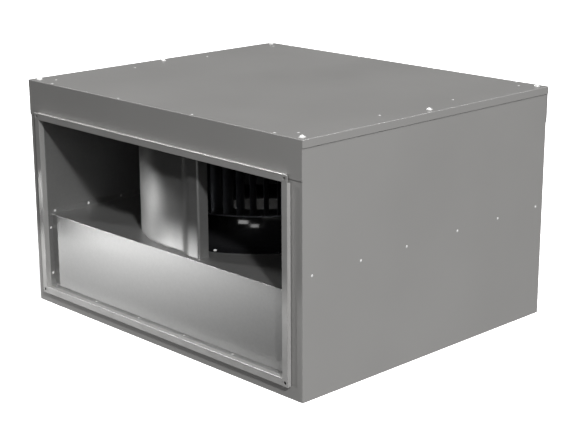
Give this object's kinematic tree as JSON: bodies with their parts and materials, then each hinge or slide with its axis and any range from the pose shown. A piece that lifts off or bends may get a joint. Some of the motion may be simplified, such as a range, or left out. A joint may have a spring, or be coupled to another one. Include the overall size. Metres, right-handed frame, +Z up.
{
  "type": "insulated in-line duct fan",
  "caption": "Insulated rectangular in-line duct fan: sheet-metal box with duct flanges, a lift-off lid carrying the motor and a horizontal centrifugal wheel in a scroll.",
  "frame": {"origin": "middle of the casing's underside, under the middle between the two duct flanges", "axes": "+Z up towards the lid, -Y out of the outlet flange, +Y out of the inlet flange, +X along the outlet face to the right as seen from the outlet"},
  "size_m": [1.1832, 0.984, 0.6682],
  "materials": {
    "casing_sheet": "matt grey coated sheet",
    "flange_steel": "galvanised, dull sheen",
    "galvanised_inside": "galvanised sheet, faint spangle",
    "mineral_wool": "fibrous, matt",
    "dark_cone": "glossy dark coating",
    "zinc_fasteners": "bright zinc",
    "rubber_black": "matt",
    "motor_black": "semi-gloss black",
    "copper": "varnished copper wire",
    "bright_steel": "ground steel",
    "wheel_steel": "galvanised, slightly bluish",
    "box_grey_plastic": "fine moulded grain",
    "terminal_plastic": "moulded"
  },
  "bodies": {
    "casing": {"floor_panel": "casing_sheet", "right_side_panel": "casing_sheet", "left_side_panel": "casing_sheet", "outlet_face_panel": "casing_sheet", "inlet_face_panel": "casing_sheet", "outlet_flange_top": "flange_steel", "outlet_flange_bottom": "flange_steel", "outlet_flange_right": "flange_steel", "outlet_flange_left": "flange_steel", "inlet_flange_top": "flange_steel", "inlet_flange_bottom": "flange_steel", "inlet_flange_right": "flange_steel", "inlet_flange_left": "flange_steel", "right_stiffener": "galvanised_inside", "left_stiffener": "galvanised_inside", "right_insulation": "mineral_wool", "left_insulation": "mineral_wool", "floor_insulation": "mineral_wool", "right_liner": "galvanised_inside", "left_liner": "galvanised_inside", "floor_liner": "galvanised_inside", "partition_plate": "galvanised_inside", "outlet_blanking_panel": "galvanised_inside", "inlet_blanking_panel": "galvanised_inside", "scroll_wall": "galvanised_inside", "cutoff_post": "galvanised_inside", "inlet_cone": "dark_cone", "cone_screws": "zinc_fasteners", "side_rivets": "zinc_fasteners", "partition_rivets": "zinc_fasteners", "panel_rivets": "zinc_fasteners", "wall_conduit": "rubber_black", "terminal_box": "box_grey_plastic", "terminal_block": "terminal_plastic", "cable_gland": "box_grey_plastic", "gland_nut": "box_grey_plastic"},
    "lid": {"lid_skin": "casing_sheet", "lid_seal": "rubber_black", "lid_inner_sheet": "galvanised_inside", "lid_insulation": "mineral_wool", "lid_screws": "zinc_fasteners", "lid_screw_washers": "zinc_fasteners", "lid_rivets": "zinc_fasteners", "motor_plate": "galvanised_inside", "motor_dampers": "rubber_black", "damper_bolts": "zinc_fasteners", "motor_bolts": "zinc_fasteners", "motor_stator": "motor_black", "stator_winding": "copper", "lower_bearing": "bright_steel", "upper_bearing": "bright_steel"},
    "wheel": {"rotor_bell": "motor_black", "motor_shaft": "bright_steel", "impeller_back_plate": "wheel_steel", "impeller_inlet_ring": "wheel_steel", "impeller_blades": "wheel_steel", "impeller_screws": "zinc_fasteners"},
    "terminal_cover": {"terminal_box_cover": "box_grey_plastic", "terminal_cover_screws": "zinc_fasteners"}
  },
  "joints": [
    {"name": "lid_lift", "type": "slide", "parent": "casing", "child": "lid", "axis": [0, 0, 1], "range_m": [0, 0.36]},
    {"name": "wheel_spin", "type": "hinge", "parent": "lid", "child": "wheel", "pos_m": [0, -0.1, 0.45], "axis": [0, 0, 1], "continuous": true},
    {"name": "terminal_cover_pull", "type": "slide", "parent": "casing", "child": "terminal_cover", "axis": [-1, 0, 0], "range_m": [0, 0.04]}
  ]
}
